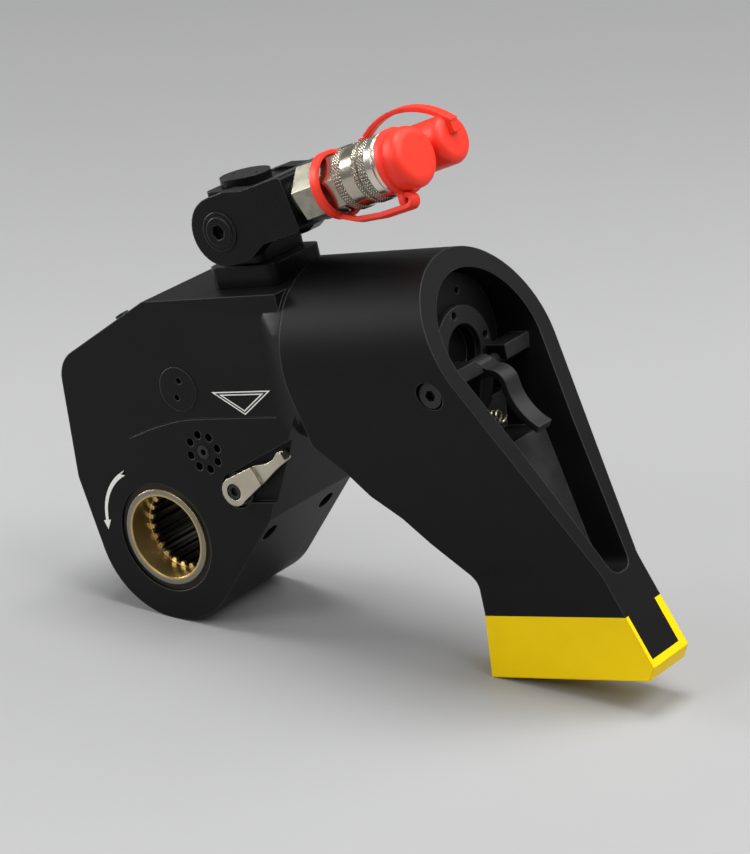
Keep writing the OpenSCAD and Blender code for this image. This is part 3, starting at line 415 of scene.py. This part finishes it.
LOOKS = {
    black_coat: ["housing", "rear_cover", "side_plug", "cylinder_cap"],
    highlit_black: ["latch_lever", "cap_ring"],
    gloss_black: ["swivel_base", "swivel_body", "swivel_cap", "coupler_fork", "pivot_screws"],
    arm_paint(): ["reaction_arm"],
    black_oxide: ["cover_screws", "facet_screws", "vent_screw", "relief_plug", "latch_pin", "lever_screw",
                  "lever_bush"],
    dark_bronze: ["front_bushing", "rear_bushing"],
    bronze: ["rod_gland"],
    ratchet_steel(): ["ratchet"],
    plate_steel: ["drive_plate_front", "drive_plate_rear", "drive_pawl", "reaction_pawl"],
    ground_steel: ["pawl_pin", "piston", "rod_pin", "lever_shaft", "swivel_post"],
    hard_chrome: ["piston_rod"],
    seal_rubber: ["piston_seal", "rod_seal", "post_seals"],
    satin_nickel: ["release_lever"],
    spring_steel: ["latch_spring"],
    zinc: ["hose_adapters"],
    nickel: ["coupler_nipple"],
    coupler_nickel(): ["coupler_body"],
    knurled_nickel(): ["coupler_collar"],
    red_rubber: ["front_dust_cap", "rear_dust_cap"],
}
for material, names in LOOKS.items():
    for name in names:
        mesh = nodes[name].data
        mesh.materials.clear()
        mesh.materials.append(material)

# Softened edges, by the width of the bevel.
EDGES = {
    0.8: ["front_dust_cap", "rear_dust_cap"],
    0.7: ["housing", "reaction_arm", "swivel_base", "swivel_body", "coupler_fork"],
    0.4: ["rear_cover", "swivel_cap", "side_plug", "release_lever", "latch_lever", "coupler_body",
          "coupler_nipple", "hose_adapters", "cylinder_cap", "cap_ring"],
    0.25: ["ratchet", "cover_screws", "facet_screws", "vent_screw", "relief_plug", "lever_screw",
           "pivot_screws"],
}
SHARP_ANGLE = 32.0
WELD_GAP = 0.001


def soften(obj, width):
    """Joins the CAD mesh's split corners and rounds its sharp edges a little."""
    weld = obj.modifiers.new("weld", "WELD")
    weld.merge_threshold = WELD_GAP * MM
    bevel = obj.modifiers.new("soft_edges", "BEVEL")
    bevel.width = width * MM
    bevel.segments = 2
    bevel.limit_method = "ANGLE"
    bevel.angle_limit = math.radians(SHARP_ANGLE)
    bevel.harden_normals = False
    bevel.use_clamp_overlap = True
    even = obj.modifiers.new("even_normals", "WEIGHTED_NORMAL")
    even.mode = "FACE_AREA"
    even.weight = 50


for width, names in EDGES.items():
    for name in names:
        soften(nodes[name], width)

# White signs printed on the front face, which is at y = 0. The lines of print there are left out. Places are
# x and z on the level tool. Each side of the arrow's shaft is an arc: x and z of its centre, and its radius.
INK_T = 0.05
INK_GAP = 0.02
ARROW_OUTER = (-6.4, 6.2, 27.8)
ARROW_INNER = (-7.45, 6.4, 25.0)
ARROW_TURN = (108.5, 175.0)
ARROW_POINTS = 12
ARROW_HEAD = [(-35.5, 8.4), (-34.0, 4.1), (-31.0, 8.8)]
ARROW_NOTCH = (-17.6, 30.6)
TRIANGLE = [Vector((48.2, 68.3)), Vector((82.2, 68.1)), Vector((64.8, 57.3))]
LINE_W = 0.55
LINE_STEP = 1.25


def printed(name, points, faces):
    """A thin layer of ink on the front face, from points in the plane of the face."""
    verts = [tool_point(x, -INK_GAP - d, z) for d in (0, INK_T) for x, z in points]
    count = len(points)
    sides = []
    for face in faces:
        sides.append([i + count for i in face])
        sides.append(list(reversed(face)))
        for i, j in zip(face, face[1:] + face[:1]):
            if not any(i in other and j in other for other in faces if other is not face):
                sides.append([i, j, j + count, i + count])
    mesh = bpy.data.meshes.new(name)
    mesh.from_pydata(verts, [], sides)
    mesh.update()
    mesh.materials.append(white_ink)
    obj = bpy.data.objects.new(name, mesh)
    bpy.context.scene.collection.objects.link(obj)
    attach(obj, "housing")


def arrow_arc(x, z, radius):
    """One side of the arrow's shaft, from its tail to its head."""
    start, end = (math.radians(a) for a in ARROW_TURN)
    turns = [start + (end - start) * k / (ARROW_POINTS - 1) for k in range(ARROW_POINTS)]
    return [(x + radius * math.cos(t), z + radius * math.sin(t)) for t in turns]


def turn_arrow():
    """The bent arrow that shows the way the drive turns."""
    outline = arrow_arc(*ARROW_OUTER) + ARROW_HEAD + arrow_arc(*ARROW_INNER)[::-1] + [ARROW_NOTCH]
    last = len(outline) - 1
    tail = [0, 1, last - 1, last]
    shaft = [[i, i + 1, last - 1 - i, last - i] for i in range(1, ARROW_POINTS - 1)]
    head_start = ARROW_POINTS - 1
    head = list(range(head_start, head_start + len(ARROW_HEAD) + 3))
    printed("turn_arrow", outline, [tail] + shaft + [head])


def moved_in(corners, distance):
    """The corners of a triangle drawn inside another, its sides moved in by a distance."""
    a, b, c = corners
    side_a, side_b, side_c = (b - c).length, (c - a).length, (a - b).length
    around = side_a + side_b + side_c
    middle = (a * side_a + b * side_b + c * side_c) / around
    inner_r = abs((b - a).cross(c - a)) / around
    return [middle + (corner - middle) * (1 - distance / inner_r) for corner in corners]


turn_arrow()
for k, name in enumerate(("triangle_outer", "triangle_inner")):
    outer = moved_in(TRIANGLE, k * LINE_STEP)
    inner = moved_in(TRIANGLE, k * LINE_STEP + LINE_W)
    printed(name, outer + inner, [[0, 1, 4, 3], [1, 2, 5, 4], [2, 0, 3, 5]])

# Camera as fitted to the photograph: orbit angles in degrees, the tip of the tool in the fit, the focal length
# in pixels, and the picture place and the depth in metres of the drive axis on the front face.
PICTURE_W = 750
PICTURE_H = 854
CAM_AZ = 35.568
CAM_EL = 23.605
TOOL_PITCH = 15.654
FOCAL_PX = 3521.0
DRIVE_PX = Vector((165.888, 537.311))
DRIVE_DEPTH = 1.6011
CENTRE_PX = Vector((373.5, 416.0))
SENSOR = 36.0


def photo_camera():
    az = math.radians(CAM_AZ)
    el = math.radians(CAM_EL)
    tip = Matrix.Rotation(math.radians(TOOL_PITCH - STAND), 3, "Y")
    right = tip @ Vector((math.cos(az), math.sin(az), 0))
    back = tip @ Vector((math.sin(az) * math.cos(el), -math.cos(az) * math.cos(el), math.sin(el)))
    up = back.cross(right)
    drive = (DRIVE_PX - CENTRE_PX) / FOCAL_PX * DRIVE_DEPTH
    data = bpy.data.cameras.new("camera")
    data.sensor_fit = "HORIZONTAL"
    data.sensor_width = SENSOR
    data.lens = FOCAL_PX / PICTURE_W * SENSOR
    data.shift_x = (PICTURE_W / 2 - CENTRE_PX.x) / PICTURE_W
    data.shift_y = (CENTRE_PX.y - PICTURE_H / 2) / PICTURE_W
    cam = bpy.data.objects.new("camera", data)
    rot = Matrix((right, up, back)).transposed()
    place = back * DRIVE_DEPTH - right * drive.x + up * drive.y
    cam.matrix_world = Matrix.Translation(place) @ rot.to_4x4()
    bpy.context.scene.collection.objects.link(cam)
    bpy.context.scene.camera = cam


# The floor: pale near the tool, and darker away from the camera, as the studio light falls off there. Lengths
# are in metres.
FLOOR_NEAR = (0.345, 0.345, 0.347)
FLOOR_FAR = (0.283, 0.283, 0.286)
FADE_FROM = 0.05
FADE_TO = 0.95
FLOOR_HALF = 6.0


def stage_floor():
    corners = [(-FLOOR_HALF, -FLOOR_HALF), (FLOOR_HALF, -FLOOR_HALF), (FLOOR_HALF, FLOOR_HALF),
               (-FLOOR_HALF, FLOOR_HALF)]
    mesh = bpy.data.meshes.new("floor")
    mesh.from_pydata([(x, y, cad_lo.z) for x, y in corners], [], [(0, 1, 2, 3)])
    floor = bpy.data.objects.new("floor", mesh)
    bpy.context.scene.collection.objects.link(floor)
    mat = surface("floor", FLOOR_NEAR, spread=0.02, rough=(0.7, 0.8), bump=0, patch=3, specular=0.2)
    tree = mat.node_tree
    place = tree.nodes.new("ShaderNodeTexCoord").outputs["Object"]
    away = Vector((-math.sin(math.radians(CAM_AZ)), math.cos(math.radians(CAM_AZ)), 0))
    behind = along(tree, place, away, away.dot(centre) / MM)
    socket, colour = base_colour(mat)
    tree.links.new(mixed(tree, step(tree, behind, FADE_FROM / MM, FADE_TO / MM), colour, FLOOR_FAR), socket)
    mesh.materials.append(mat)


def soft_light(name, place, size, power):
    """A rectangular lamp aimed at the middle of the tool. Lengths in metres, power in watts."""
    data = bpy.data.lights.new(name, "AREA")
    data.shape = "RECTANGLE"
    data.size, data.size_y = size
    data.energy = power
    lamp = bpy.data.objects.new(name, data)
    lamp.location = place
    lamp.rotation_mode = "QUATERNION"
    lamp.rotation_quaternion = (centre - Vector(place)).to_track_quat("-Z", "Y")
    bpy.context.scene.collection.objects.link(lamp)


def studio_world(colour, strength):
    """Even light from all round."""
    world = bpy.data.worlds.new("studio")
    world.use_nodes = True
    background = world.node_tree.nodes["Background"]
    background.inputs["Color"].default_value = colour
    background.inputs["Strength"].default_value = strength
    bpy.context.scene.world = world


stage_floor()
soft_light("key", (0.05, 0.2, 2.4), (1.1, 1.1), 47)
soft_light("right", (1.6, -0.2, 2.0), (1.2, 1.2), 24)
soft_light("front", (-0.8, -2.0, 1.5), (1.2, 1.0), 18)
soft_light("left", (-2.2, -0.5, 0.7), (0.9, 0.9), 36)
soft_light("back", centre + tool_dir(0.66, 0.6, 0.62) * 2.4, (2.4, 1.6), 34)
studio_world((0.98, 0.99, 1.0, 1.0), 0.24)
photo_camera()
bpy.context.scene.view_settings.view_transform = "Standard"
